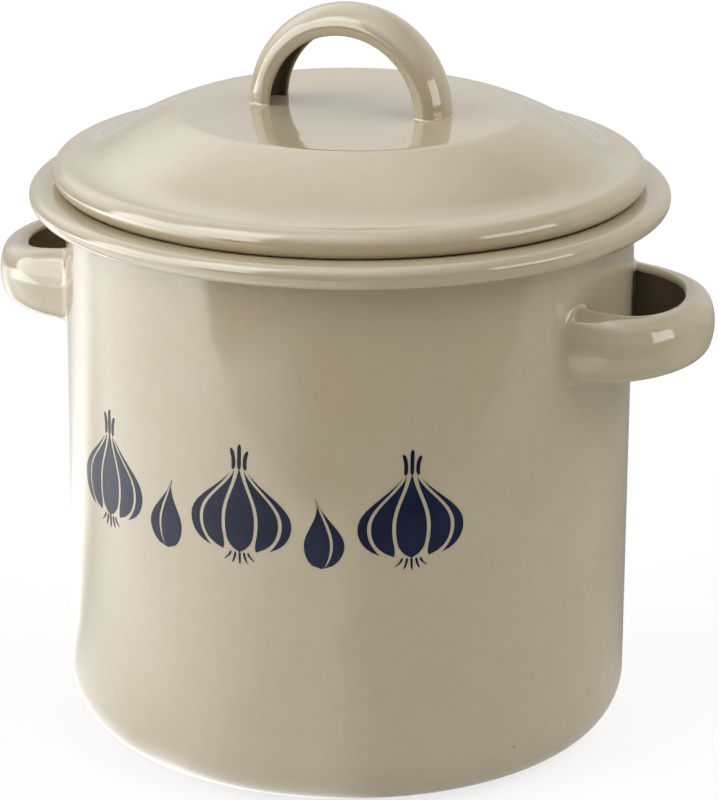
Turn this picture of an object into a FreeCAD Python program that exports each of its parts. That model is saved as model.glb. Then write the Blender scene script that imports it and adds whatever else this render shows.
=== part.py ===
import FreeCAD, Part
import os
from math import acos, cos, pi, radians, sin, sqrt, tan

# An enamelled steel garlic keeper: a drawn pot with a rolled rim, two pressed strap handles welded to its sides,
# and a lid with a flat crown, a rolled edge, an arched strap handle on top and a locating collar underneath.
# Frame: origin at the centre of the base, +Z up, front towards -Y, side handles along +X and -X. Millimetres.

# ---- driving dimensions ----
SHEET = 1.1                # 0.7 steel with 0.2 enamel on each side

POT_RADIUS = 63.0          # outside of the wall
POT_HEIGHT = 125.3         # top of the rolled rim
BASE_CORNER = 12.4         # outside radius between the wall and the base
BASE_RECESS = 1.0          # how far the middle of the base is pressed up
BASE_RING = 10.0           # width of the flat ring that the pot stands on
BASE_BEND = 2.0            # inner radius of the two bends between the ring and the recess

RIM_WIDTH = 8.9            # from the inside of the wall to the rim's outermost edge
RIM_FLARE = 2.6            # radius of the bend out of the wall, on the inside
RIM_EDGE = 2.1             # outside radius over the rim's outer edge
RIM_CURL = 3.0             # outside radius of the curl under it
RIM_DOME = radians(8)      # slope of the rim's top at each of its ends
RIM_CURL_TURN = radians(150)    # how far the curl turns in under the rim

LID_OVERHANG = 2.5         # how far the lid reaches past the pot's wall
LID_EDGE = 3.07            # outside radius of the rolled edge
LID_EDGE_TURN = radians(190)
LID_CROWN_EDGE = 7.0       # outside radius of the bend around the flat crown
LID_CROWN_SLOPE = radians(19)   # how far it bends down
LID_FALL_RADIUS = 67.7     # the dome beside it, which steepens on its way down
LID_FALL_SLOPE = radians(33.5)
LID_HOLLOW_RADIUS = 15.1   # hollow bend between the fall and the rolled edge
LID_HOLLOW_SLOPE = radians(2.4)
LID_SEAT_GAP = 0.2         # between the lid's rolled edge and the pot's rim

COLLAR_GAP = 1.0           # between the collar and the inside of the pot's wall
COLLAR_REACH = 9.0         # how far the collar goes down below the rim's top
COLLAR_HEM = 2.1           # outside radius of its turned-in lower edge
COLLAR_HEM_TURN = radians(60)

STRAP_SHEET = 1.1

SIDE_DROP = 25.8           # from the rim's top down to the middle of the side handles
SIDE_WIDTH = 14.2          # height of their strap
SIDE_FOOT_WIDTH = 17.0     # and where it meets the wall
SIDE_EDGE = 3.9            # outside radius between the strap's face and its lips
SIDE_DOME = radians(18)    # slope of its face at each of its edges
SIDE_LEAN = radians(18)    # the lips turn in by this much past square
SIDE_DEPTH = 6.8           # from its face to the ends of its lips
SIDE_FOOT_HALF = 24.1      # from the handle's middle to the face of each foot
SIDE_ARM = 6.8             # straight part of each arm
SIDE_ARM_LEAN = radians(3.8)    # the arms come together by this much
SIDE_CORNER_RADIUS = 18.0
SIDE_CORNER_TURN = radians(56)

GRIP_WIDTH = 12.4          # width of the lid handle's strap, which is rounder
GRIP_EDGE = 3.3
GRIP_DOME = radians(40)
GRIP_LEAN = radians(12)
GRIP_DEPTH = 6.5
GRIP_RADIUS = 23.4         # outside of its arch
GRIP_RISE = 23.5           # top of its arch above the crown

EXTRA = 6.0                # how far pieces to be trimmed run past what they meet

V = FreeCAD.Vector
ORIGIN = V(0, 0, 0)
UP = V(0, 0, 1)


# ---- bent sheet ----
class Trace:
    """One face of a bent sheet, walked in the XZ plane: left turns are positive. The sheet lies on the left of the
    walk (side = 1) or on its right (side = -1)."""

    def __init__(self, x, z, heading, thickness, side):
        self.x, self.z, self.heading = x, z, heading
        self.shift = side * thickness
        self.near, self.far = [], []

    def across(self, x, z, heading):
        """The point of the sheet's other face that is opposite (x, z)."""
        return V(x - self.shift * sin(heading), 0, z + self.shift * cos(heading))

    def run(self, length):
        """Goes straight on."""
        x, z = self.x + length * cos(self.heading), self.z + length * sin(self.heading)
        far_ends = [self.across(self.x, self.z, self.heading), self.across(x, z, self.heading)]
        self.near.append(Part.LineSegment(V(self.x, 0, self.z), V(x, 0, z)).toShape())
        self.far.append(Part.LineSegment(*far_ends).toShape())
        self.x, self.z = x, z
        return self

    def bend(self, radius, turn):
        """Bends by the angle turn. The radius is the walked face's own."""
        way = radius if turn > 0 else -radius
        centre_x, centre_z = self.x - way * sin(self.heading), self.z + way * cos(self.heading)
        stops = []
        for share in (0, 0.5, 1):
            heading = self.heading + share * turn
            stops.append((centre_x + way * sin(heading), centre_z - way * cos(heading), heading))
        self.near.append(Part.Arc(*[V(x, 0, z) for x, z, heading in stops]).toShape())
        self.far.append(Part.Arc(*[self.across(*stop) for stop in stops]).toShape())
        self.x, self.z, self.heading = stops[-1]
        return self

    def wire(self, round_start, round_end):
        """The sheet's closed outline, with half-round or square ends."""
        start, end = self.near[0].Vertexes[0].Point, V(self.x, 0, self.z)
        far_start, far_end = self.far[0].Vertexes[0].Point, self.far[-1].Vertexes[-1].Point
        first = self.near[0]
        back = first.tangentAt(first.FirstParameter) * -1
        ahead = V(cos(self.heading), 0, sin(self.heading))
        closing = edge_between(end, far_end, ahead, round_end)
        opening = edge_between(far_start, start, back, round_start)
        return Part.Wire(self.near + [closing] + self.far[::-1] + [opening])

    def lathe(self, round_start=False):
        """The sheet turned about the Z axis, with its outer end rounded."""
        return Part.Face(self.wire(round_start, True)).revolve(ORIGIN, UP, 360)


def edge_between(a, b, outwards, rounded):
    """The sheet's own edge from a to b, straight or bulging outwards as a half circle."""
    if not rounded:
        return Part.LineSegment(a, b).toShape()
    return Part.Arc(a, (a + b) * 0.5 + outwards * (a.distanceToPoint(b) / 2), b).toShape()


def lathe_to_level(edges, level):
    """The space between a walk out from the axis and a flat level, turned about the Z axis."""
    start, end = edges[0].Vertexes[0].Point, edges[-1].Vertexes[-1].Point
    corners = [end, V(end.x, 0, level), V(0, 0, level), start]
    sides = [Part.LineSegment(a, b).toShape() for a, b in zip(corners, corners[1:])]
    return Part.Face(Part.Wire(edges + sides)).revolve(ORIGIN, UP, 360)


# ---- pot ----
WALL_INSIDE = POT_RADIUS - SHEET
FLANGE_WIDTH = RIM_WIDTH - (RIM_FLARE + RIM_EDGE) * (1 - sin(RIM_DOME))
FLANGE_RADIUS = FLANGE_WIDTH / 2 / sin(RIM_DOME)
RIM_BEND_LEVEL = POT_HEIGHT - FLANGE_RADIUS * (1 - cos(RIM_DOME)) - RIM_FLARE * cos(RIM_DOME)


def pot_body():
    """Drawn shell, walked along its inside from the middle of the base to the end of the rim's curl."""
    bend_sum = 2 * BASE_BEND + SHEET
    step_turn = acos(1 - BASE_RECESS / bend_sum)
    ring_inside = POT_RADIUS - BASE_CORNER - BASE_RING
    shell = Trace(0, BASE_RECESS + SHEET, 0, SHEET, -1)
    shell.run(ring_inside - bend_sum * sin(step_turn))
    shell.bend(BASE_BEND + SHEET, -step_turn).bend(BASE_BEND, step_turn)
    shell.run(BASE_RING)
    shell.bend(BASE_CORNER - SHEET, pi / 2)
    shell.run(RIM_BEND_LEVEL - BASE_CORNER)
    shell.bend(RIM_FLARE, RIM_DOME - pi / 2)
    shell.bend(FLANGE_RADIUS, -2 * RIM_DOME)
    shell.bend(RIM_EDGE, RIM_DOME - pi / 2)
    shell.bend(RIM_CURL, -RIM_CURL_TURN)
    return shell.lathe()


# ---- lid ----
EDGE_X = POT_RADIUS + LID_OVERHANG - LID_EDGE
SEAT_REACH = RIM_FLARE + LID_SEAT_GAP + LID_EDGE
EDGE_Z = RIM_BEND_LEVEL + sqrt(SEAT_REACH ** 2 - (WALL_INSIDE + RIM_FLARE - EDGE_X) ** 2)
HOLLOW_WIDTH = LID_HOLLOW_RADIUS * (sin(LID_FALL_SLOPE) - sin(LID_HOLLOW_SLOPE))
HOLLOW_DROP = LID_HOLLOW_RADIUS * (cos(LID_HOLLOW_SLOPE) - cos(LID_FALL_SLOPE))
FALL_WIDTH = LID_FALL_RADIUS * (sin(LID_FALL_SLOPE) - sin(LID_CROWN_SLOPE))
FALL_DROP = LID_FALL_RADIUS * (cos(LID_CROWN_SLOPE) - cos(LID_FALL_SLOPE))
CROWN_DROP = LID_CROWN_EDGE * (1 - cos(LID_CROWN_SLOPE))
CROWN_BEND_WIDTH = LID_CROWN_EDGE * sin(LID_CROWN_SLOPE)
CROWN_WIDTH = EDGE_X + LID_EDGE * sin(LID_HOLLOW_SLOPE) - HOLLOW_WIDTH - FALL_WIDTH - CROWN_BEND_WIDTH
LID_TOP = EDGE_Z + LID_EDGE * cos(LID_HOLLOW_SLOPE) + HOLLOW_DROP + FALL_DROP + CROWN_DROP


def lid_dome():
    """The pressed disc, walked along its upper face from the middle to the start of its rolled edge."""
    dome = Trace(0, LID_TOP, 0, SHEET, -1)
    dome.run(CROWN_WIDTH).bend(LID_CROWN_EDGE, -LID_CROWN_SLOPE)
    dome.bend(LID_FALL_RADIUS, LID_CROWN_SLOPE - LID_FALL_SLOPE)
    dome.bend(LID_HOLLOW_RADIUS, LID_FALL_SLOPE - LID_HOLLOW_SLOPE)
    return dome


def lid_shell():
    """The disc with its edge rolled down and in."""
    return lid_dome().bend(LID_EDGE, -LID_EDGE_TURN).lathe()


def lid_collar():
    """Rolled strip with a turned-in lower edge, cut along its top to lie against the underside of the lid."""
    strip_top = LID_TOP
    hem_level = POT_HEIGHT - COLLAR_REACH + COLLAR_HEM * sin(COLLAR_HEM_TURN)
    strip = Trace(WALL_INSIDE - COLLAR_GAP, strip_top, -pi / 2, SHEET, -1)
    strip.run(strip_top - hem_level)
    strip.bend(COLLAR_HEM, -COLLAR_HEM_TURN)
    return strip.lathe().cut(lathe_to_level(lid_dome().far, LID_TOP + EXTRA))


# ---- strap handles ----
def strap_section(width, edge, dome, lean, depth):
    """Open C section in the XZ plane: the middle of its face is at the origin and faces +X, its lips point to -X."""
    face_half = width / 2 - edge * (1 - sin(dome))
    face_radius = face_half / sin(dome)
    edge_x = -face_half * tan(dome / 2) - edge * cos(dome)
    lip_x = edge_x - edge * sin(lean)
    lip_z = edge * (1 - cos(lean)) - width / 2
    lip = (depth + lip_x - STRAP_SHEET / 2) / cos(lean)
    edge_turn = pi / 2 + lean - dome
    start_x, start_z = lip_x - lip * cos(lean), lip_z + lip * sin(lean)
    strap = Trace(start_x, start_z, -lean, STRAP_SHEET, 1)
    strap.run(lip).bend(edge, edge_turn)
    strap.bend(face_radius, 2 * dome)
    strap.bend(edge, edge_turn).run(lip)
    return strap.wire(True, True)


def side_section(width):
    return strap_section(width, SIDE_EDGE, SIDE_DOME, SIDE_LEAN, SIDE_DEPTH)


def turned(shape, point, heading):
    """A section set across a plan path at a point, facing the right of its heading."""
    placed = shape.copy()
    placed.Placement = FreeCAD.Placement(point, FreeCAD.Rotation(UP, (heading - pi / 2) * 180 / pi))
    return placed


def side_handle():
    """Right handle. The plan path goes from the near foot to the nose, and its mirror image is the other half."""
    level = POT_HEIGHT - SIDE_DROP
    wall = sqrt(POT_RADIUS ** 2 - SIDE_FOOT_HALF ** 2)
    foot = V(wall, -SIDE_FOOT_HALF, level)
    along = V(cos(SIDE_ARM_LEAN), sin(SIDE_ARM_LEAN), 0)
    arm_end = foot + along * SIDE_ARM
    foot_wire = turned(side_section(SIDE_FOOT_WIDTH), foot, SIDE_ARM_LEAN)
    arm_wire = turned(side_section(SIDE_WIDTH), arm_end, SIDE_ARM_LEAN)
    stub = Part.Face(foot_wire).extrude(along * -EXTRA)
    arm = Part.makeLoft([foot_wire, arm_wire], True, True)
    corner_centre = arm_end + V(-along.y, along.x, 0) * SIDE_CORNER_RADIUS
    corner = Part.Face(arm_wire).revolve(corner_centre, UP, SIDE_CORNER_TURN * 180 / pi)
    heading = SIDE_ARM_LEAN + SIDE_CORNER_TURN
    corner_end = corner_centre + V(sin(heading), -cos(heading), 0) * SIDE_CORNER_RADIUS
    nose_radius = -corner_end.y / cos(heading)
    nose_centre = corner_end + V(-sin(heading), cos(heading), 0) * nose_radius
    nose_wire = turned(side_section(SIDE_WIDTH), corner_end, heading)
    nose = Part.Face(nose_wire).revolve(nose_centre, UP, 180 - 2 * heading * 180 / pi)
    halves = [stub, arm, corner]
    mirrored = [piece.mirror(ORIGIN, V(0, 1, 0)) for piece in halves]
    loop = nose.multiFuse(halves + mirrored).removeSplitter()
    return loop.cut(Part.makeCylinder(POT_RADIUS, POT_HEIGHT))


def lid_handle():
    """Arch across the lid, with its feet cut to stand on the crown."""
    centre = V(0, 0, LID_TOP + GRIP_RISE - GRIP_RADIUS)
    section = Part.Face(strap_section(GRIP_WIDTH, GRIP_EDGE, GRIP_DOME, GRIP_LEAN, GRIP_DEPTH))
    section.rotate(ORIGIN, V(1, 0, 0), 90)
    section.translate(centre + V(GRIP_RADIUS, 0, 0))
    leg = section.extrude(V(0, 0, -EXTRA))
    arch = section.revolve(centre, V(0, -1, 0), 180)
    strap = arch.multiFuse([leg, leg.mirror(ORIGIN, V(1, 0, 0))]).removeSplitter()
    return strap.cut(lathe_to_level(lid_dome().near, 0))


# ---- files ----
def only_solid(name, shape):
    """The one solid that a sub-part is."""
    if len(shape.Solids) != 1 or not shape.isValid():
        raise ValueError(name + " is not one valid solid")
    return shape.Solids[0]


right = side_handle()
left = right.copy()
left.rotate(ORIGIN, UP, 180)
PIECES = {
    "pot_body": pot_body(),
    "side_handle_right": right,
    "side_handle_left": left,
    "lid_shell": lid_shell(),
    "lid_collar": lid_collar(),
    "lid_handle": lid_handle(),
}
os.makedirs("parts", exist_ok=True)
for name, shape in PIECES.items():
    solid = only_solid(name, shape)
    solid.exportStep("parts/" + name + ".step")
    box = solid.optimalBoundingBox(False)
    print(name, "%.0f mm3, %.1f x %.1f x %.1f mm" % (solid.Volume, box.XLength, box.YLength, box.ZLength))
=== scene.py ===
# %% [markdown]
# # An enamelled steel garlic keeper
# A kitchen keeper is a drawn steel pot with a rolled rim, two pressed strap handles, and a domed lid with a
# strap handle on top and a collar underneath. All of it is dipped in clay-coloured glass enamel and fired,
# and a navy print is fired on the front. Here every piece is a real sheet with two faces and a rounded edge,
# since a gloss finish shows each bend: a stand-in without thickness would lose the rim's curl and the lid's
# roll. The engineering model comes in first. It says how large everything is and which pieces move together.

# %% Load the frame
import math

import bmesh
import bpy
from mathutils import Matrix, Vector


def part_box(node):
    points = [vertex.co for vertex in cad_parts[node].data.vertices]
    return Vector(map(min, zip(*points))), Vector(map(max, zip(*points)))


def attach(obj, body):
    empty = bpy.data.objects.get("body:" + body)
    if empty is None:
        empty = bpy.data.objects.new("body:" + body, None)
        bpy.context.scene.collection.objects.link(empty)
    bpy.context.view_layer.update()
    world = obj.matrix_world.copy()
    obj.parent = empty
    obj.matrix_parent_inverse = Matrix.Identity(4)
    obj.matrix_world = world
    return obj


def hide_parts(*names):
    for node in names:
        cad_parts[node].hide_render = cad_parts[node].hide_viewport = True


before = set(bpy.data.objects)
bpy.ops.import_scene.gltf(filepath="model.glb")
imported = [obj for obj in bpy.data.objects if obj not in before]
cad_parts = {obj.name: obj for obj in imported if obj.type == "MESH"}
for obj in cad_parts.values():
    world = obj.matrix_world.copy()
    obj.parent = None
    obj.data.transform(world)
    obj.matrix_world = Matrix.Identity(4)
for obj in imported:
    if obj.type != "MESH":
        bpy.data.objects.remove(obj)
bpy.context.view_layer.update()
MM = 0.001
for node in sorted(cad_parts):
    low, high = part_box(node)
    print(node, "from", [round(v / MM, 1) for v in low], "to", [round(v / MM, 1) for v in high])

# %% [markdown]
# ## Measures
# Sheet metal is drawn with few numbers: the thickness, the radius of each bend and how far the bend turns.
# They could be read off the engineering meshes, but then no bend could be made finer than theirs. So they
# are named here again, in millimetres, and the walls below are walked from them.

# %% Measures of the pot, the lid and the straps
SHEET = 1.1
POT_RADIUS, POT_HEIGHT = 63.0, 125.3
BASE_CORNER, BASE_RECESS, BASE_RING, BASE_BEND = 12.4, 1.0, 10.0, 2.0
RIM_WIDTH, RIM_FLARE, RIM_EDGE, RIM_CURL = 8.9, 2.6, 2.1, 3.0
RIM_DOME, RIM_CURL_TURN = math.radians(8), math.radians(150)

LID_OVERHANG, LID_EDGE, LID_EDGE_TURN = 2.5, 3.07, math.radians(190)
LID_CROWN_EDGE, LID_CROWN_SLOPE = 7.0, math.radians(19)
LID_FALL_RADIUS, LID_FALL_SLOPE = 67.7, math.radians(33.5)
LID_HOLLOW_RADIUS, LID_HOLLOW_SLOPE = 15.1, math.radians(2.4)
LID_SEAT_GAP = 0.2
COLLAR_GAP, COLLAR_REACH, COLLAR_HEM, COLLAR_HEM_TURN = 1.0, 9.0, 2.1, math.radians(60)

SIDE_LEVEL = POT_HEIGHT - 25.8
SIDE_FOOT_HALF, SIDE_ARM, SIDE_ARM_LEAN = 24.1, 6.8, math.radians(3.8)
SIDE_CORNER_RADIUS, SIDE_CORNER_TURN = 18.0, math.radians(56)
SIDE_NOSE_WIDTH, SIDE_FOOT_WIDTH = 13.4, 17.0
GRIP_WIDTH, GRIP_RADIUS, GRIP_RISE = 12.4, 23.4, 23.5

WALL_INSIDE = POT_RADIUS - SHEET
FLANGE_WIDTH = RIM_WIDTH - (RIM_FLARE + RIM_EDGE) * (1 - math.sin(RIM_DOME))
FLANGE_RADIUS = FLANGE_WIDTH / 2 / math.sin(RIM_DOME)
RIM_BEND_LEVEL = POT_HEIGHT - FLANGE_RADIUS * (1 - math.cos(RIM_DOME)) - RIM_FLARE * math.cos(RIM_DOME)
EDGE_X = POT_RADIUS + LID_OVERHANG - LID_EDGE
SEAT_REACH = RIM_FLARE + LID_SEAT_GAP + LID_EDGE
EDGE_Z = RIM_BEND_LEVEL + math.sqrt(SEAT_REACH**2 - (WALL_INSIDE + RIM_FLARE - EDGE_X) ** 2)
HOLLOW_WIDTH = LID_HOLLOW_RADIUS * (math.sin(LID_FALL_SLOPE) - math.sin(LID_HOLLOW_SLOPE))
HOLLOW_DROP = LID_HOLLOW_RADIUS * (math.cos(LID_HOLLOW_SLOPE) - math.cos(LID_FALL_SLOPE))
FALL_WIDTH = LID_FALL_RADIUS * (math.sin(LID_FALL_SLOPE) - math.sin(LID_CROWN_SLOPE))
FALL_DROP = LID_FALL_RADIUS * (math.cos(LID_CROWN_SLOPE) - math.cos(LID_FALL_SLOPE))
CROWN_BEND_WIDTH = LID_CROWN_EDGE * math.sin(LID_CROWN_SLOPE)
CROWN_DROP = LID_CROWN_EDGE * (1 - math.cos(LID_CROWN_SLOPE))
CROWN_WIDTH = EDGE_X + LID_EDGE * math.sin(LID_HOLLOW_SLOPE) - HOLLOW_WIDTH - FALL_WIDTH - CROWN_BEND_WIDTH
LID_TOP = EDGE_Z + LID_EDGE * math.cos(LID_HOLLOW_SLOPE) + HOLLOW_DROP + FALL_DROP + CROWN_DROP
print("rim bends at %.2f mm, the lid's edge rolls round %.2f mm, its top is at %.2f mm"
      % (RIM_BEND_LEVEL, EDGE_Z, LID_TOP))

# %% [markdown]
# ## Writing a finish as sums
# A finish is a network of nodes. Drawn by hand it is hard to follow, so a small class wraps a socket and
# lets plain Python sums add the Math nodes. Every other node comes from one method that takes the node's
# type, its settings, and what goes into its sockets.


# %% Sockets that can be added and multiplied
class Wire:
    """A number that a node gives out, for use in sums."""

    def __init__(self, finish, socket):
        self.finish, self.socket = finish, socket

    def sum_of(self, operation, *values, clamp=False):
        settings = {"operation": operation, "use_clamp": clamp}
        return self.finish.node("ShaderNodeMath", settings, values)["Value"]

    def __add__(self, other):
        return self.sum_of("ADD", self, other)

    def __sub__(self, other):
        return self.sum_of("SUBTRACT", self, other)

    def __rsub__(self, other):
        return self.sum_of("SUBTRACT", other, self)

    def __mul__(self, other):
        return self.sum_of("MULTIPLY", self, other)

    def __truediv__(self, other):
        return self.sum_of("DIVIDE", self, other)

    def __pow__(self, power):
        return self.sum_of("POWER", self, power)

    __radd__, __rmul__ = __add__, __mul__

    def held(self):
        """Kept between 0 and 1."""
        return self.sum_of("ADD", self, 0.0, clamp=True)


class Node:
    """A made node: node["Name"] is one of its outputs."""

    def __init__(self, finish, made):
        self.finish, self.made = finish, made

    def __getitem__(self, name):
        socket = next(s for s in self.made.outputs if s.name == name and s.enabled)
        return Wire(self.finish, socket)


class Finish:
    """The node network of a material or of the world."""

    def __init__(self, owner):
        owner.use_nodes = True
        self.owner, self.tree = owner, owner.node_tree
        self.tree.nodes.clear()

    def node(self, kind, settings=None, values=None):
        """A node with its settings. Values go to its sockets by name or in order; where several sockets share
        a name, only one of them is enabled."""
        made = self.tree.nodes.new(kind)
        for name, value in (settings or {}).items():
            setattr(made, name, value)
        if values is None:
            return Node(self, made)
        pairs = values.items() if isinstance(values, dict) else zip(made.inputs, values)
        for key, value in pairs:
            socket = key
            if isinstance(key, str):
                socket = next(s for s in made.inputs if s.name == key and s.enabled)
            if isinstance(value, Wire):
                self.tree.links.new(value.socket, socket)
            else:
                socket.default_value = value
        return Node(self, made)

    def blend(self, share, first, second):
        """Two colours mixed by a share from 0 to 1."""
        settings = {"data_type": "RGBA"}
        return self.node("ShaderNodeMix", settings, {"Factor": share, "A": first, "B": second})["Result"]

    def noise(self, place, scale, detail=2.0, roughness=0.5):
        """Cloudy noise from 0 to 1; scale is about how many clouds there are in a metre."""
        values = {"Vector": place, "Scale": scale, "Detail": detail, "Roughness": roughness}
        return self.node("ShaderNodeTexNoise", {}, values)["Fac"]

    def band(self, value, low, high, to_low=0.0, to_high=1.0):
        """value from low..high carried smoothly onto to_low..to_high."""
        settings = {"interpolation_type": "SMOOTHSTEP"}
        values = {"Value": value, "From Min": low, "From Max": high, "To Min": to_low, "To Max": to_high}
        return self.node("ShaderNodeMapRange", settings, values)["Result"]

    def bumped(self, height, distance, under=None):
        """The way a surface faces once a height from 0 to 1 raises it by a distance in metres."""
        values = {"Height": height, "Strength": 1.0, "Distance": distance}
        if under is not None:
            values["Normal"] = under
        return self.node("ShaderNodeBump", {}, values)["Normal"]


def rgb(red, green, blue):
    """A colour as seen, from 0 to 255, as the light that shaders use."""
    light = [(c / 255 / 12.92 if c <= 10 else ((c / 255 + 0.055) / 1.055) ** 2.4) for c in (red, green, blue)]
    return (*light, 1.0)


# %% [markdown]
# ## Vitreous enamel
# Enamel is glass melted onto steel. It is glossy but never a mirror: it keeps a faint orange-peel, long soft
# waves from the dip, and a slight cloudiness in its colour. It runs thin over tight bends, where the colour
# turns a little darker and warmer, and it holds a few tiny specks. A flat colour with a coat would look like
# plastic, so each of these is its own small term. Inside a handle's channel the enamel is thin, and the
# colour there is darkened further as painted shade. How tight the sheet bends and what lies inside a channel
# comes from the pieces themselves, as two numbers stored at every point.


# %% Clay enamel
CLAY, CLAY_WARM, CLAY_COOL = rgb(183, 171, 144), rgb(181, 168, 140), rgb(186, 175, 149)
CLAY_MOTTLE, CLAY_OVER_BEND = rgb(170, 158, 131), rgb(165, 149, 117)
CLAY_SHADED_IN_CHANNEL, SPECK = rgb(88, 77, 57), rgb(74, 62, 46)
DIP_WAVES, ORANGE_PEEL = 0.00022, 0.0000045
WAVE_SCALE = 46.0
ENAMEL_IOR = 1.5


def clay_enamel():
    finish = Finish(bpy.data.materials.new("clay_enamel"))
    place = finish.node("ShaderNodeTexCoord")["Object"]
    cloud = finish.noise(place, 34.0, 3.0, 0.55)
    mottle = finish.noise(place, 420.0, 3.0, 0.6)
    tight = finish.node("ShaderNodeAttribute", {"attribute_name": "tight"})["Fac"]

    colour = finish.blend(finish.band(cloud, 0.35, 0.65), CLAY_WARM, CLAY_COOL)
    colour = finish.blend(0.5, colour, CLAY)
    colour = finish.blend((mottle - 0.5) * 0.5 + 0.12, colour, CLAY_MOTTLE)
    colour = finish.blend(tight * 0.18, colour, CLAY_OVER_BEND)
    # Inside a handle's channel the colour turns dark: partly thin enamel, partly painted shade.
    inside = finish.node("ShaderNodeAttribute", {"attribute_name": "inside"})["Fac"]
    thin = (inside * 0.85 + (cloud - 0.5) * inside * 0.6).held()
    colour = finish.blend(thin, colour, CLAY_SHADED_IN_CHANNEL)

    cells = finish.node("ShaderNodeTexVoronoi", {"feature": "F1"}, {"Vector": place, "Scale": 95.0})
    seed = finish.node("ShaderNodeSeparateColor", {}, {"Color": cells["Color"]})
    chosen = finish.band(seed["Red"], 0.93, 0.935)  # about one cell in fifteen holds a speck
    dot_size = seed["Green"] * 0.035 + 0.02
    dot = (1 - (cells["Distance"] / dot_size) ** 2.0).held()
    colour = finish.blend(chosen * dot * 0.6, colour, SPECK)

    roughness = finish.band(mottle, 0.3, 0.7, 0.055, 0.085) + tight * 0.02
    waves = finish.noise(place, WAVE_SCALE)
    peel = finish.noise(place, 330.0)
    normal = finish.bumped(waves, DIP_WAVES)
    normal = finish.bumped(peel, ORANGE_PEEL, under=normal)
    gloss = {"Base Color": colour, "Roughness": roughness, "Normal": normal, "IOR": ENAMEL_IOR}
    shader = finish.node("ShaderNodeBsdfPrincipled", {}, gloss)
    finish.node("ShaderNodeOutputMaterial", {}, {"Surface": shader["BSDF"]})
    return finish.owner


CLAY_ENAMEL = clay_enamel()
print("made", CLAY_ENAMEL.name)

# %% [markdown]
# ## Walking a bent sheet
# A sheet could be modelled as a surface with a Solidify modifier, but its edges would come out square and
# its curls uneven. Instead one face of the sheet is walked as a press would bend it, in runs and bends, and
# the other face is the same walk at the sheet's thickness. Both ends get a half-round edge. The walk keeps
# the way each point faces, and how tight the bend is there.


# %% A walk along a sheet
END_STEPS = 8  # steps round a sheet's rounded end
TIGHTEST_BEND, GENTLE_BEND = 2.6, 6.0  # radii at which the enamel is thinnest, and no longer thinned


class Walk:
    """One face of a bent sheet in a flat plane; left turns are positive. The sheet is on its left (side = 1)
    or on its right (side = -1)."""

    def __init__(self, x, z, heading, side):
        self.side = side
        self.steps = [(x, z, heading, 0.0)]

    def run(self, length, pieces=1):
        x, z, heading, _ = self.steps[-1]
        for n in range(1, pieces + 1):
            far = length * n / pieces
            self.steps.append((x + far * math.cos(heading), z + far * math.sin(heading), heading, 0.0))
        return self

    def bend(self, radius, turn, pieces):
        x, z, heading, _ = self.steps[-1]
        way = radius if turn > 0 else -radius
        centre_x, centre_z = x - way * math.sin(heading), z + way * math.cos(heading)
        tight = min(1.0, TIGHTEST_BEND / radius) if radius < GENTLE_BEND else 0.0
        for n in range(1, pieces + 1):
            at = heading + turn * n / pieces
            self.steps.append((centre_x + way * math.sin(at), centre_z - way * math.cos(at), at, tight))
        return self

    def faces(self):
        """Points of the walked face and of the other face: x, z, the way each faces, and its tightness."""
        near, far = [], []
        for x, z, heading, tight in self.steps:
            out_x, out_z = self.side * math.sin(heading), -self.side * math.cos(heading)
            near.append((x, z, out_x, out_z, tight))
            far.append((x - out_x * SHEET, z - out_z * SHEET, -out_x, -out_z, tight))
        return near, far

    def outline(self, round_start=True):
        """The whole closed outline: near face, rounded end, far face back, and rounded start."""
        near, far = self.faces()
        start = half_round(far[0], near[0]) if round_start else []
        return near + half_round(near[-1], far[-1]) + far[::-1] + start


def half_round(a, b):
    """Points of a half circle from a to b, bulging to the side that the sheet ends on."""
    middle_x, middle_z = (a[0] + b[0]) / 2, (a[1] + b[1]) / 2
    radius = math.hypot(a[0] - b[0], a[1] - b[1]) / 2
    across = ((a[0] - middle_x) / radius, (a[1] - middle_z) / radius)
    ahead = (-across[1], across[0])
    bulge = []
    for n in range(1, END_STEPS):
        angle = math.pi * n / END_STEPS
        out_x = across[0] * math.cos(angle) + ahead[0] * math.sin(angle)
        out_z = across[1] * math.cos(angle) + ahead[1] * math.sin(angle)
        bulge.append((middle_x + out_x * radius, middle_z + out_z * radius, out_x, out_z, 1.0))
    return bulge


# %% Turning a walk into a round piece, and finishing a piece
AROUND = 288  # points round a turned piece
ON_AXIS = 1e-6


def finished(name, shape, body, material, stands_for=None):
    """Makes the object of a bmesh in metres, smooth, riding on its body."""
    bmesh.ops.recalc_face_normals(shape, faces=shape.faces[:])
    for face in shape.faces:
        face.smooth = True
    mesh = bpy.data.meshes.new(name)
    shape.to_mesh(mesh)
    shape.free()
    mesh.materials.append(material)
    piece = bpy.data.objects.new(name, mesh)
    bpy.context.scene.collection.objects.link(piece)
    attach(piece, body)
    if stands_for:
        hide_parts(stands_for)
    print(name, len(mesh.vertices), "points,", [round(v / MM, 1) for v in piece.dimensions], "mm")
    return piece


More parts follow.
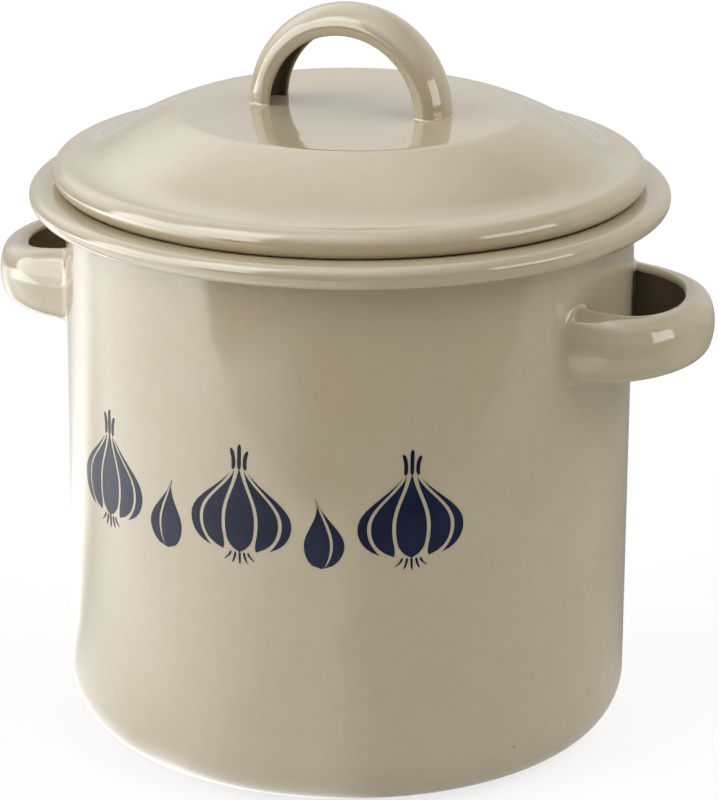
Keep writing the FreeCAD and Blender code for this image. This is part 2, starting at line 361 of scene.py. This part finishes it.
def turned(outline):
    """A bmesh of an outline turned about the Z axis. Points on the axis become one point each."""
    shape = bmesh.new()
    tight_layer = shape.verts.layers.float.new("tight")
    closed = outline[0][0] > ON_AXIS
    rings = []
    for x, z, _, _, tight in outline:
        ring = []
        for n in range(1 if x < ON_AXIS else AROUND):
            angle = 2 * math.pi * n / AROUND
            point = shape.verts.new((x * math.cos(angle) * MM, x * math.sin(angle) * MM, z * MM))
            point[tight_layer] = tight
            ring.append(point)
        rings.append(ring)
    pairs = list(zip(rings, rings[1:])) + ([(rings[-1], rings[0])] if closed else [])
    for a, b in pairs:
        if len(a) == len(b) == 1:
            continue  # the sheet's edge at the middle of a disc
        for n in range(AROUND):
            m = (n + 1) % AROUND
            if len(a) == 1:
                shape.faces.new((a[0], b[m], b[n]))
            elif len(b) == 1:
                shape.faces.new((a[n], a[m], b[0]))
            else:
                shape.faces.new((a[n], a[m], b[m], b[n]))
    return shape


# %% [markdown]
# ## The pot
# The pot is drawn from one disc of steel. Its base is pressed up a millimetre so that it stands on a ring,
# the wall is straight, and the top is flared out into a narrow flange and curled under for stiffness and for
# a clean edge in the hand. The walk follows the inside from the middle of the base to the end of the curl.

# %% Pot shell
BEND_SUM = 2 * BASE_BEND + SHEET
STEP_TURN = math.acos(1 - BASE_RECESS / BEND_SUM)
RING_INSIDE = POT_RADIUS - BASE_CORNER - BASE_RING
pot_walk = Walk(0, BASE_RECESS + SHEET, 0, -1)
pot_walk.run(RING_INSIDE - BEND_SUM * math.sin(STEP_TURN), 12)
pot_walk.bend(BASE_BEND + SHEET, -STEP_TURN, 8).bend(BASE_BEND, STEP_TURN, 8)
pot_walk.run(BASE_RING, 4)
pot_walk.bend(BASE_CORNER - SHEET, math.pi / 2, 28)
pot_walk.run(RIM_BEND_LEVEL - BASE_CORNER, 36)
pot_walk.bend(RIM_FLARE, RIM_DOME - math.pi / 2, 16)
pot_walk.bend(FLANGE_RADIUS, -2 * RIM_DOME, 6)
pot_walk.bend(RIM_EDGE, RIM_DOME - math.pi / 2, 20)
pot_walk.bend(RIM_CURL, -RIM_CURL_TURN, 24)
pot_shape = turned(pot_walk.outline(round_start=False))
finished("pot_shell", pot_shape, "pot", CLAY_ENAMEL, "pot_body")

# %% [markdown]
# ## The lid
# The lid is a pressed disc: a flat crown, a dome that steepens beside it, a hollow, and an edge that is
# rolled down and in, on which it rests just inside the pot's rim. It is walked along its upper face. The
# collar underneath is a strip rolled into a ring, welded to the underside, with its lower edge turned in.
# The enamel fills the corner of that weld, so the ring's top flares a little as it meets the lid.

# %% Lid shell and its collar
lid_walk = Walk(0, LID_TOP, 0, -1)
lid_walk.run(CROWN_WIDTH, 14).bend(LID_CROWN_EDGE, -LID_CROWN_SLOPE, 10)
lid_walk.bend(LID_FALL_RADIUS, LID_CROWN_SLOPE - LID_FALL_SLOPE, 28)
lid_walk.bend(LID_HOLLOW_RADIUS, LID_FALL_SLOPE - LID_HOLLOW_SLOPE, 22)
lid_top_steps = len(lid_walk.steps)
lid_walk.bend(LID_EDGE, -LID_EDGE_TURN, 48)
lid_shape = turned(lid_walk.outline(round_start=False))
finished("lid_dome", lid_shape, "lid", CLAY_ENAMEL, "lid_shell")


def height_at(face, x):
    """The level of one of the lid's faces at a distance x from the axis."""
    for a, b in zip(face, face[1:]):
        if a[0] <= x <= b[0]:
            return a[1] + (b[1] - a[1]) * (x - a[0]) / (b[0] - a[0])
    raise ValueError("the lid does not reach %.1f mm" % x)


dome_below = lid_walk.faces()[1][:lid_top_steps]
WELD, WELD_STEPS, SUNK = 0.9, 8, 0.3  # bead of enamel, its steps, how far a weld runs into what carries it
COLLAR_OUTSIDE = WALL_INSIDE - COLLAR_GAP
COLLAR_TOP = height_at(dome_below, COLLAR_OUTSIDE) - WELD - SUNK
HEM_LEVEL = POT_HEIGHT - COLLAR_REACH + COLLAR_HEM * math.sin(COLLAR_HEM_TURN)
collar_walk = Walk(COLLAR_OUTSIDE, COLLAR_TOP, -math.pi / 2, -1)
collar_walk.run(COLLAR_TOP - HEM_LEVEL, 6)
collar_walk.bend(COLLAR_HEM, -COLLAR_HEM_TURN, 12)
collar_outline = collar_walk.outline(round_start=False)
for side, edge in ((-1, COLLAR_OUTSIDE - SHEET), (1, COLLAR_OUTSIDE)):
    weld = []
    for n in range(1, WELD_STEPS + 1):
        angle = math.pi / 2 * n / WELD_STEPS
        x = edge + side * WELD * (1 - math.cos(angle))
        z = height_at(dome_below, x) - WELD * (1 - math.sin(angle))
        weld.append((x, z, side, 0, 1.0))
    weld.append((edge + side * WELD, height_at(dome_below, edge + side * WELD) + SUNK, side, 0, 1.0))
    collar_outline += weld if side < 0 else weld[::-1]
finished("lid_collar_ring", turned(collar_outline), "lid", CLAY_ENAMEL, "lid_collar")

# %% [markdown]
# ## Strap handles
# Each handle is a strip pressed into a shallow channel with a slightly domed face and rounded edges, so that
# the hand feels no sharp rim, and then bent to its shape and welded by its ends. A curve with a bevel could
# carry such a section, but the ends would stay cut square. Here the section is carried ring by ring, and the
# last rings follow whatever the foot stands on, flaring out like the bead of enamel that fills the weld.


# %% Section of a strap, and a strap carried along its rings
class Strap:
    """How a strap is pressed: the outside radius of its edges, how far its face domes, how far its lips turn
    in past square, and its depth."""

    def __init__(self, edge, dome, lean, depth):
        self.edge, self.dome, self.lean, self.depth = edge, math.radians(dome), math.radians(lean), depth

    def section(self, width):
        """The C section, out across its face and along its width. Always the same number of points."""
        face_half = width / 2 - self.edge * (1 - math.sin(self.dome))
        edge_out = -face_half * math.tan(self.dome / 2) - self.edge * math.cos(self.dome)
        lip_out = edge_out - self.edge * math.sin(self.lean)
        lip_along = self.edge * (1 - math.cos(self.lean)) - width / 2
        lip = (self.depth + lip_out - SHEET / 2) / math.cos(self.lean)
        turn = math.pi / 2 + self.lean - self.dome
        start = (lip_out - lip * math.cos(self.lean), lip_along + lip * math.sin(self.lean))
        walk = Walk(*start, -self.lean, 1).run(lip, 2).bend(self.edge, turn, 14)
        walk.bend(face_half / math.sin(self.dome), 2 * self.dome, 14)
        return walk.bend(self.edge, turn, 14).run(lip, 2)


SIDE_STRAP = Strap(edge=3.9, dome=18, lean=18, depth=6.8)
GRIP_STRAP = Strap(edge=3.3, dome=40, lean=12, depth=6.5)
STRAP_STEPS = len(SIDE_STRAP.section(SIDE_NOSE_WIDTH).steps)
INNER_START = STRAP_STEPS + END_STEPS - 1
INNER_END = INNER_START + STRAP_STEPS
print("a strap's section has", INNER_END + END_STEPS - 1, "points,", STRAP_STEPS, "of them on its outer face")


def outer_share(n):
    """1 at the points on a section's outer face, 0 inside the channel, and between on its rounded edges."""
    if n < STRAP_STEPS:
        return 1.0
    if n < INNER_START:
        return 1 - (n - STRAP_STEPS + 1) / END_STEPS
    if n < INNER_END:
        return 0.0
    return (n - INNER_END + 1) / END_STEPS


def weld_sizes(outline, size, outside):
    """How far the enamel bead flares at each point of a section: most outside, least inside the channel."""
    outs = [out for _, _, out, _, _ in outline]
    return [size + outer_share(n) * outside * (0.5 + 0.5 * max(0.0, out)) for n, out in enumerate(outs)]


class Station:
    """Where a section of a strap stands: its middle, which way its face looks, which way its width runs."""

    def __init__(self, strap, middle, out, along, width):
        self.strap, self.width = strap, width
        self.middle, self.out, self.along = middle, out.normalized(), along.normalized()

    def ring(self):
        outline = self.strap.section(self.width).outline()
        points = [self.middle + self.out * x + self.along * z for x, z, *_ in outline]
        return points, [tight for *_, tight in outline]


def foot_rings(station, towards, distance_to, size, outside, steps=9):
    """Rings from just under what the foot stands on up to the strap itself, along the bead of enamel."""
    outline = station.strap.section(station.width).outline()
    sizes = weld_sizes(outline, size, outside)
    rings = []
    for n in range(-1, steps + 1):
        angle = math.pi / 2 * (1 - max(n, 0) / steps)
        points = []
        for (x, z, out, across, _), bead in zip(outline, sizes):
            spread = bead * (1 - math.cos(angle))
            start = station.middle + station.out * (x + out * spread) + station.along * (z + across * spread)
            lift = bead * (1 - math.sin(angle)) if n >= 0 else -SUNK
            points.append(start + towards * (distance_to(start) - lift))
        rings.append((points, [1.0 - 0.5 * max(n, 0) / steps] * len(points)))
    return rings


def strap_piece(name, half_rings, mirror, body, stands_for, turn=0.0):
    """A closed strap: half of it from foot to middle, and the mirrored other half."""
    shape = bmesh.new()
    tight_layer = shape.verts.layers.float.new("tight")
    inside_layer = shape.verts.layers.float.new("inside")
    flip = Matrix.Rotation(turn, 4, "Z")
    rings = []
    for points, tights in half_rings + [([mirror(p) for p in ps], ts) for ps, ts in half_rings[-2::-1]]:
        ring = []
        for n, (point, tight) in enumerate(zip(points, tights)):
            made = shape.verts.new(flip @ point * MM)
            made[tight_layer] = tight
            # the inside layer marks the channel, where the enamel's colour carries painted shade
            made[inside_layer] = max(0.0, 1 - 2 * outer_share(n))
            ring.append(made)
        rings.append(ring)
    count = len(rings[0])
    for a, b in zip(rings, rings[1:]):
        for n in range(count):
            m = (n + 1) % count
            shape.faces.new((a[n], a[m], b[m], b[n]))
    for ring in (rings[0], rings[-1]):
        near, far = ring[:STRAP_STEPS], ring[INNER_START:INNER_END][::-1]
        for n in range(STRAP_STEPS - 1):
            shape.faces.new((near[n], near[n + 1], far[n + 1], far[n]))
        shape.faces.new([near[-1]] + ring[STRAP_STEPS:INNER_START] + [far[-1]])
        shape.faces.new([far[0]] + ring[INNER_END:] + [near[0]])
    for ring in (rings[1], rings[-2]):
        for n in range(count):
            shape.edges.get((ring[n], ring[(n + 1) % count])).smooth = False
    return finished(name, shape, body, CLAY_ENAMEL, stands_for)


# %% [markdown]
# ## The side handles
# A side handle stands out level from the wall, wide enough for two fingers. Seen from above it has two short
# arms that lean together, a shoulder bend on each, and a rounder nose between them. The strap is broadest
# where it is welded on and slims towards the nose. Half of it is laid out and mirrored, and the left handle
# is the right one turned half way round the pot.

# %% Side handles
WALL_AT_FOOT = math.sqrt(POT_RADIUS**2 - SIDE_FOOT_HALF**2)
SIDE_BEAD = (0.8, 0.8)  # enamel at the foot: all round, and how much more outside
UPWARDS = Vector((0, 0, 1))


def side_width(x):
    """Width of a side handle's strap where it has reached x from the axis."""
    reach = max(0.0, min(1.0, (x - WALL_AT_FOOT) / (SIDE_NOSE_X - WALL_AT_FOOT)))
    return SIDE_NOSE_WIDTH + (SIDE_FOOT_WIDTH - SIDE_NOSE_WIDTH) * (1 - reach) ** 1.5


def wall_distance(towards):
    """A measure of how far a point is from the pot's wall, going one way."""

    def distance(point):
        flat, way = point.xy, towards.xy.normalized()
        ahead = flat.dot(way)
        return -ahead - math.sqrt(max(0.0, ahead * ahead - flat.length_squared + POT_RADIUS**2))

    return distance


side_walk = Walk(WALL_AT_FOOT, -SIDE_FOOT_HALF, SIDE_ARM_LEAN, 1)
side_walk.run(SIDE_ARM, 1).bend(SIDE_CORNER_RADIUS, SIDE_CORNER_TURN, 20)
_, corner_y, nose_heading, _ = side_walk.steps[-1]
nose_radius = -corner_y / math.cos(nose_heading)
side_walk.bend(nose_radius, math.pi / 2 - nose_heading, 12)
SIDE_NOSE_X = side_walk.steps[-1][0]
print("side handles: nose at %.2f mm, nose radius %.2f mm" % (SIDE_NOSE_X, nose_radius))

arm = Vector((math.cos(SIDE_ARM_LEAN), math.sin(SIDE_ARM_LEAN), 0))
arm_out = Vector((math.sin(SIDE_ARM_LEAN), -math.cos(SIDE_ARM_LEAN), 0))
foot = Vector((WALL_AT_FOOT, -SIDE_FOOT_HALF, SIDE_LEVEL))
side_foot = Station(SIDE_STRAP, foot + arm, arm_out, UPWARDS, SIDE_FOOT_WIDTH - 0.5)
side_rings = foot_rings(side_foot, -arm, wall_distance(-arm), *SIDE_BEAD)
for far in (4.6, 5.7):  # two stations on the straight arm, beyond the bead
    middle = foot + arm * far
    side_rings.append(Station(SIDE_STRAP, middle, arm_out, UPWARDS, side_width(foot.x + far)).ring())
for x, y, heading, _ in side_walk.steps[1:]:
    out = Vector((math.sin(heading), -math.cos(heading), 0))
    side_rings.append(Station(SIDE_STRAP, Vector((x, y, SIDE_LEVEL)), out, UPWARDS, side_width(x)).ring())


def across_front(point):
    return Vector((point.x, -point.y, point.z))


strap_piece("handle_right", side_rings, across_front, "pot", "side_handle_right")
strap_piece("handle_left", side_rings, across_front, "pot", "side_handle_left", math.pi)

# %% [markdown]
# ## The lid handle
# The lid's handle is the same kind of strap, but rounder across. It is bent into a half circle and welded
# upright on the flat crown, so its feet need no more than the distance down to the crown.

# %% Lid handle
GRIP_CENTRE = Vector((0, 0, LID_TOP + GRIP_RISE - GRIP_RADIUS))
GRIP_START, GRIP_STEPS = math.radians(2), 44
GRIP_BEAD = (0.5, 0.15)
SIDEWAYS = Vector((0, 1, 0))


def grip_station(angle):
    out = Vector((math.cos(angle), 0, math.sin(angle)))
    return Station(GRIP_STRAP, GRIP_CENTRE + out * GRIP_RADIUS, out, SIDEWAYS, GRIP_WIDTH)


grip_rings = foot_rings(grip_station(0), -UPWARDS, lambda point: point.z - LID_TOP, *GRIP_BEAD)
for n in range(GRIP_STEPS + 1):
    grip_rings.append(grip_station(GRIP_START + (math.pi / 2 - GRIP_START) * n / GRIP_STEPS).ring())


def across_side(point):
    return Vector((-point.x, point.y, point.z))


strap_piece("handle_lid", grip_rings, across_side, "lid", "lid_handle")

# %% [markdown]
# ## The print
# A transfer print is a thin film of darker enamel that is fired on last. On the front of a keeper it says
# what is kept inside; here a row of garlic bulbs and single cloves says it without words. Each clove is a
# shape between a left and a right edge that both change with height, so it can be laid out flat as a small
# grid and wrapped round the wall. The film is a closed sheet a twentieth of a millimetre thick.

# %% Navy print finish
NAVY_DEEP, NAVY_PALE, NAVY_WORN = rgb(16, 22, 44), rgb(25, 33, 58), rgb(60, 66, 84)
PRINT_GRAIN, PRINT_SHINE = 0.000004, 0.14


def navy_print():
    finish = Finish(bpy.data.materials.new("navy_print"))
    place = finish.node("ShaderNodeTexCoord")["Object"]
    grain = finish.noise(place, 900.0, 3.0, 0.6)
    cloud = finish.noise(place, 120.0)
    colour = finish.blend(finish.band(cloud, 0.3, 0.7), NAVY_DEEP, NAVY_PALE)
    colour = finish.blend(finish.band(grain, 0.62, 0.8) * 0.25, colour, NAVY_WORN)
    waves = finish.noise(place, WAVE_SCALE)
    normal = finish.bumped(waves, DIP_WAVES)
    normal = finish.bumped(grain, PRINT_GRAIN, under=normal)
    roughness = finish.band(grain, 0.3, 0.7, 0.13, 0.19)
    look = {"Base Color": colour, "Roughness": roughness, "Normal": normal}
    look |= {"IOR": ENAMEL_IOR, "Specular IOR Level": PRINT_SHINE}
    shader = finish.node("ShaderNodeBsdfPrincipled", {}, look)
    finish.node("ShaderNodeOutputMaterial", {}, {"Surface": shader["BSDF"]})
    return finish.owner


NAVY_PRINT = navy_print()
print("made", NAVY_PRINT.name)

# %% Laying a flat shape on the wall
PRINT_BASE = 57.0
FILM_FLOOR, FILM_TOP = 0.03, 0.08
THINNEST_HALF = 0.02


def wrapped(u, v, lift):
    """A point of the flat print, u along the wall and v up it, laid on the wall."""
    angle = u / POT_RADIUS
    radius = POT_RADIUS + lift
    return Vector((radius * math.sin(angle), -radius * math.cos(angle), PRINT_BASE + v)) * MM


def patch(shape, left, right, low, high, rows=22, columns=8):
    """One printed shape between the edges left(t) and right(t), t from 0 at low to 1 at high."""
    sheets = []
    for lift in (FILM_FLOOR, FILM_TOP):
        grid = []
        for row in range(rows + 1):
            t = row / rows
            middle, half = (left(t) + right(t)) / 2, max(THINNEST_HALF, (right(t) - left(t)) / 2)
            us = [middle + half * (2 * n / columns - 1) for n in range(columns + 1)]
            grid.append([shape.verts.new(wrapped(u, low + (high - low) * t, lift)) for u in us])
        sheets.append(grid)
    for grid in sheets:
        for a, b in zip(grid, grid[1:]):
            for n in range(columns):
                shape.faces.new((a[n], a[n + 1], b[n + 1], b[n]))
    low_rim, high_rim = (
        grid[0] + [row[-1] for row in grid[1:]] + grid[-1][-2::-1] + [row[0] for row in grid[-2:0:-1]]
        for grid in sheets
    )
    for n in range(len(low_rim)):
        m = (n + 1) % len(low_rim)
        shape.faces.new((low_rim[n], low_rim[m], high_rim[m], high_rim[n]))


def stroke(shape, middle, half, low, high, rows):
    """A printed line about middle(t), half(t) wide to each side."""
    patch(shape, lambda t: middle(t) - half(t), lambda t: middle(t) + half(t), low, high, rows, 2)


# %% Cloves, bulbs and their row
def swelling(t, widest, taper):
    """Share of the full width at a share t of the height: round up to the widest place, then drawn in."""
    if t < widest:
        return math.sqrt(max(0.0, 1 - ((t - widest) / widest) ** 2))
    return 0.5 + 0.5 * math.cos(math.pi * min(1.0, (t - widest) / (1 - widest)) ** taper)


def rounded(t, power):
    """1 along the middle of a stroke, falling to 0 at both of its ends."""
    return math.sqrt(max(0.0, 1 - abs(2 * t - 1) ** power))


BULB_LINES = (-90, -52, -19, 19, 52, 90)  # seen round a bulb from its front, in degrees
BULB_FOOT, NECK_FOOT, ROOT_TOP = 1.6, 20.6, 2.3
BULB_SHAPE, CLOVE_SHAPE = (0.36, 1.12), (0.34, 0.92)  # where each is widest, and how it tapers
NARROWEST = 0.16  # a bulb's share of width left at its root and neck
STRANDS = ((-0.95, -0.9, 25.4), (0.0, 0.1, 26.4), (0.95, 1.0, 25.0))
ROOTS = ((-2.0, -1.6, 0.3), (-0.95, -0.7, -0.3), (0.05, 0.1, -0.5), (1.05, 0.8, -0.2), (2.0, 1.5, 0.4))


def bulb(shape, centre, width=23.0, height=20.0, gap=0.42):
    """A whole bulb: five cloves on the lines that run from its root to its neck, a neck and a few roots."""
    for n, (a, b) in enumerate(zip(BULB_LINES, BULB_LINES[1:])):
        first, last = 0.03 + 0.02 * abs(n - 2), 0.97 - 0.03 * abs(n - 2)

        def edge(t, side, a=a, b=b, first=first, last=last):
            swell = swelling(first + (last - first) * t, *BULB_SHAPE)
            half = width / 2 * (NARROWEST + (1 - NARROWEST) * swell)
            left, right = (half * math.sin(math.radians(line)) for line in (a, b))
            middle = (left + right) / 2
            own = right - (gap if b < 90 else 0) if side > 0 else left + (gap if a > -90 else 0)
            ends = min(1.0, min(t, 1 - t) / 0.16)
            return centre + middle + (own - middle) * math.sqrt(1 - (1 - ends) ** 2)

        low, high = BULB_FOOT + height * first, BULB_FOOT + height * last
        patch(shape, lambda t, e=edge: e(t, -1), lambda t, e=edge: e(t, 1), low, high)
    for offset, lean, top in STRANDS:

        def strand(t, offset=offset, lean=lean):
            return centre + offset * (1 + 0.5 * (1 - t) ** 2) + lean * t * t

        stroke(shape, strand, lambda t: 0.42 * rounded(t, 6), NECK_FOOT, top, 12)
    for offset, lean, low in ROOTS:

        def root(t, offset=offset, lean=lean):
            return centre + offset + lean * (1 - t) ** 2

        stroke(shape, root, lambda t: 0.3 * rounded(t, 4) * (0.6 + 0.4 * t), low, ROOT_TOP, 8)


def clove(shape, centre, lean, width=8.6, height=15.5):
    """A single clove: plump low down, with a drawn-out tip, and a line where its skin folds."""
    fold_side = 1 if lean < 0 else -1

    def skin(t, side):
        return centre + lean * (t - 0.35) ** 2 * 4.5 + side * width / 2 * swelling(t, *CLOVE_SHAPE)

    def fold(t, side):
        spine = skin(t, 0)
        thin = 0.33 * math.sin(math.pi * min(1.0, max(0.0, t))) ** 0.5
        at = spine + (skin(t, fold_side) - spine) * 0.36 + side * thin
        return min(at, skin(t, 1)) if fold_side > 0 else max(at, skin(t, -1))

    patch(shape, lambda t: skin(t, -1), lambda t: fold(t, -1), 0.0, height)
    patch(shape, lambda t: fold(t, 1), lambda t: skin(t, 1), 0.0, height)


print_shape = bmesh.new()
BULB_PITCH = 37.0
for n in (-1, 0, 1):
    bulb(print_shape, n * BULB_PITCH)
for side in (-1, 1):
    clove(print_shape, side * BULB_PITCH / 2, -side)
front_print = finished("garlic_print", print_shape, "pot", NAVY_PRINT)
for face in front_print.data.polygons:
    face.use_smooth = False  # a film this thin has sharp edges

# %% [markdown]
# ## The camera
# The keeper is seen from a little above and from the right of its front, with a long lens, as in a shop's
# picture. A Track To constraint would aim the camera, but not turn it by the small tilt, pan and roll that a
# tripod has, so its three axes are turned one after the other and written down as a matrix.

# %% Camera
VIEW_TURN = math.radians(21.5)
CAMERA_RISE, CAMERA_FAR, AIM_HEIGHT = 0.3321, 0.8535, 0.06167
TILT, PAN, ROLL = 0.0136, -0.0026, -0.0048
SENSOR_WIDTH, FOCAL_LENGTH = 36.0, 169.73
offset = Vector((0, -math.cos(CAMERA_RISE), math.sin(CAMERA_RISE))) * CAMERA_FAR
look, right_hand = (-offset).normalized(), Vector((1, 0, 0))
head = right_hand.cross(look)
tilt = Matrix.Rotation(TILT, 3, right_hand)
look, head = tilt @ look, tilt @ head
pan = Matrix.Rotation(PAN, 3, head)
look, right_hand = pan @ look, pan @ right_hand
roll = Matrix.Rotation(ROLL, 3, look)
head, right_hand = roll @ head, roll @ right_hand
turn = Matrix.Rotation(VIEW_TURN, 3, "Z")
columns = [turn @ right_hand, turn @ head, turn @ -look]
camera_data = bpy.data.cameras.new("camera")
camera_data.sensor_width, camera_data.lens = SENSOR_WIDTH, FOCAL_LENGTH
camera_data.clip_start, camera_data.clip_end = 0.02, 50.0
camera = bpy.data.objects.new("camera", camera_data)
bpy.context.scene.collection.objects.link(camera)
stand = Matrix.Translation(turn @ offset + Vector((0, 0, AIM_HEIGHT)))
camera.matrix_world = stand @ Matrix(columns).transposed().to_4x4()
bpy.context.scene.camera = camera
bpy.context.scene.view_settings.view_transform = "Standard"
print("camera at", [round(v, 4) for v in camera.matrix_world.translation])

# %% [markdown]
# ## Floor and light
# Glossy clay-coloured enamel is all about what it mirrors, so the studio is painted into the air: a tall
# soft box on the left, a small one low on the right and a pale backdrop behind, with dimmer air in front.
# Matt and mirrored light get levels of their own, as flags and diffusers give them in a real studio: the
# first models the round forms, the second draws the highlights on lips and handles. The floor is plain
# white, and to gloss it glows as a white sheet near the pot, with painted light brightest beside the soft
# box and painted shade close to the pot's left side. Lamps would be simpler, but they leave small hard dots
# in the gloss, and a plain white world would wash the same veil over every surface.

# %% Bearings, as seen from the pot
def sides_of(finish, place):
    """How far a place or a way lies to the camera's right and towards the camera, its height, and its
    bearing: 0 towards the camera, growing to the right."""
    spot = finish.node("ShaderNodeSeparateXYZ", {}, {"Vector": place})
    aside = spot["X"] * math.cos(VIEW_TURN) + spot["Y"] * math.sin(VIEW_TURN)
    front = spot["X"] * math.sin(VIEW_TURN) - spot["Y"] * math.cos(VIEW_TURN)
    return aside, front, spot["Z"], aside.sum_of("ARCTAN2", aside, front)


def past(finish, bearing, start, end):
    """0 up to one bearing and 1 from the other on, in degrees."""
    return finish.band(bearing, math.radians(start), math.radians(end))


# %% Floor
FLOOR_RADIUS, FLOOR_WHITE = 4.0, rgb(238, 238, 238)


def mirrored_floor(finish):
    """How bright gloss sees the floor: on and off the sheet, and at each bearing from the pot."""
    aside, front, _, bearing = sides_of(finish, finish.node("ShaderNodeTexCoord")["Object"])
    reach = (aside**2.0 + front**2.0) ** 0.5
    # The sheet ends a quarter of a metre in front of the pot, and nearer towards the right.
    sheet_edge = 0.25 - aside.sum_of("MAXIMUM", aside - 0.06, 0.0) * 0.3
    sheet = 1 - finish.band(front - sheet_edge, -0.012, 0.018)

    # Painted light makes it brighter on the left, most of all beside the tall soft box, and painted shade
    # makes it darker close to the pot's left wall.
    left_sheet = past(finish, bearing, -152, -118) * 2.85 + past(finish, bearing, -122, -88) * 0.65 - 0.85
    on_sheet = 0.56 + (1 - past(finish, bearing, -8, 10)) * 1.15 - past(finish, bearing, 88, 125) * 0.3
    on_sheet = on_sheet + (1 - past(finish, bearing, -68, -16)) * left_sheet
    shade_close_by = 1 - finish.band(front - aside * 0.77 - 0.087, -0.055, 0.075)
    to_the_left = past(finish, bearing, -40, -60) * past(finish, bearing, -128, -108)
    on_sheet = on_sheet - shade_close_by * to_the_left * 2.8

    # Off the sheet the floor glows at the front left, far out under the soft box, and evenly far behind.
    off_sheet = (1 - past(finish, bearing, -38, -8)) * (1 - finish.band(reach, 0.35, 0.47)) * 1.7
    under_box = past(finish, bearing, -118, -100) * (1 - past(finish, bearing, -58, -44))
    near = sheet * on_sheet + (1 - sheet) * off_sheet + under_box * finish.band(reach, 0.42, 0.56) * 6.0
    behind = finish.band(front, -0.6, -0.3, 1.0, 0.0)
    return near.sum_of("MAXIMUM", near, 0.0) * (1 - behind) + behind * 0.63


def studio_floor():
    """White, with the pot's shadow; the camera sees it a little lighter, and gloss sees mirrored_floor."""
    finish = Finish(bpy.data.materials.new("studio_floor"))
    rays = finish.node("ShaderNodeLightPath")
    mirrored = (rays["Is Glossy Ray"] + rays["Is Transmission Ray"]).held()
    white = finish.node("ShaderNodeBsdfDiffuse", {}, {"Color": FLOOR_WHITE})
    seen = finish.node("ShaderNodeEmission", {}, {"Strength": 1.1})
    glow = finish.node("ShaderNodeEmission", {}, {"Strength": mirrored_floor(finish)})
    lifted = rays["Is Camera Ray"] * 0.7
    plain = finish.node("ShaderNodeMixShader", {}, [lifted, white["BSDF"], seen["Emission"]])
    mixed = finish.node("ShaderNodeMixShader", {}, [mirrored, plain["Shader"], glow["Emission"]])
    finish.node("ShaderNodeOutputMaterial", {}, {"Surface": mixed["Shader"]})
    return finish.owner


floor_shape = bmesh.new()
bmesh.ops.create_circle(floor_shape, cap_ends=True, segments=96, radius=FLOOR_RADIUS)
floor_mesh = bpy.data.meshes.new("floor")
floor_shape.to_mesh(floor_mesh)
floor_shape.free()
floor_mesh.materials.append(studio_floor())
floor = bpy.data.objects.new("floor", floor_mesh)
bpy.context.scene.collection.objects.link(floor)
print("the floor is", 2 * FLOOR_RADIUS, "m across")

# %% Soft boxes
# Each box has a left and a right bearing, a lowest and a highest rise and a softness in degrees, and a level.
MATT_BOXES = (
    (-102, -34, 20, 54, 3.0, 2.6),
    (-108, -52, -2, 22, 2.0, 1.5),
    (30, 120, 30, 62, 8.0, 2.4),
    (50, 115, -2, 30, 6.0, 0.3),
)
MIRRORED_BOXES = (
    (-78, -34, -8, 62, 3.0, 5.6),
    (-102, -78, -8, 36, 3.0, 5.6),
    (-102, -34, -8, 20, 4.0, 2.0),
    (-150, -102, -8, 48, 6.0, 0.4),
    (50, 84, -2, 19, 1.0, 5.2),
)
world = bpy.data.worlds.new("studio_air")
bpy.context.scene.world = world
air = Finish(world)
aside, front, rise, bearing = sides_of(air, air.node("ShaderNodeTexCoord")["Generated"])


def soft_box(left, right, bottom, top, soft, level):
    across = past(air, bearing, left - soft, left + soft)
    across = across * (1 - past(air, bearing, right - soft, right + soft))
    low, high = (math.sin(math.radians(v)) for v in (bottom, top))
    edge = math.radians(soft)
    upwards = air.band(rise, low - edge, low + edge) * (1 - air.band(rise, high - edge, high + edge))
    return across * upwards * level


matt_boxes, mirrored_boxes = (sum(soft_box(*box) for box in boxes) for boxes in (MATT_BOXES, MIRRORED_BOXES))
print(len(MATT_BOXES), "soft boxes light the enamel and", len(MIRRORED_BOXES), "are mirrored in it")

# %% Air
MATT_FILL, MIRRORED_FILL = 0.12, 0.06
backdrop = air.band(front, -0.15, 0.25, 1.0, 0.0) * (1 - air.band(rise, 0.55, 0.75))
from_behind = air.band(front * -0.45 + rise * 0.89, 0.6, 0.97)
matt_level = backdrop * 0.75 + from_behind * 0.25 + matt_boxes + MATT_FILL

overhead = air.band(aside * -0.45 + front * -0.15 + rise * 0.88, 0.42, 0.92)
high_front = (air.band(rise, 0.2, 0.6) * 1.7 + 0.3) * (1 - past(air, bearing, 5, 50) * 0.65)
mirror_level = backdrop * (air.band(rise, 0.1, 0.3) * 0.3 + 0.72) + overhead * 2.45 + MIRRORED_FILL
mirror_level = mirror_level + air.band(rise, 0.5, 0.75) * 0.5 + air.band(front, -0.2, 0.2) * high_front
mirror_level = mirror_level + mirrored_boxes

rays = air.node("ShaderNodeLightPath")
mirrored = (rays["Is Glossy Ray"] + rays["Is Transmission Ray"]).held()
lighting = 1 - (rays["Is Camera Ray"] + mirrored).held()
strength = rays["Is Camera Ray"] + mirrored * mirror_level + lighting * matt_level
light = air.node("ShaderNodeBackground", {}, {"Color": (1, 1, 1, 1), "Strength": strength})
air.node("ShaderNodeOutputWorld", {}, {"Surface": light["Background"]})
print("the air has", len(air.tree.nodes), "nodes")
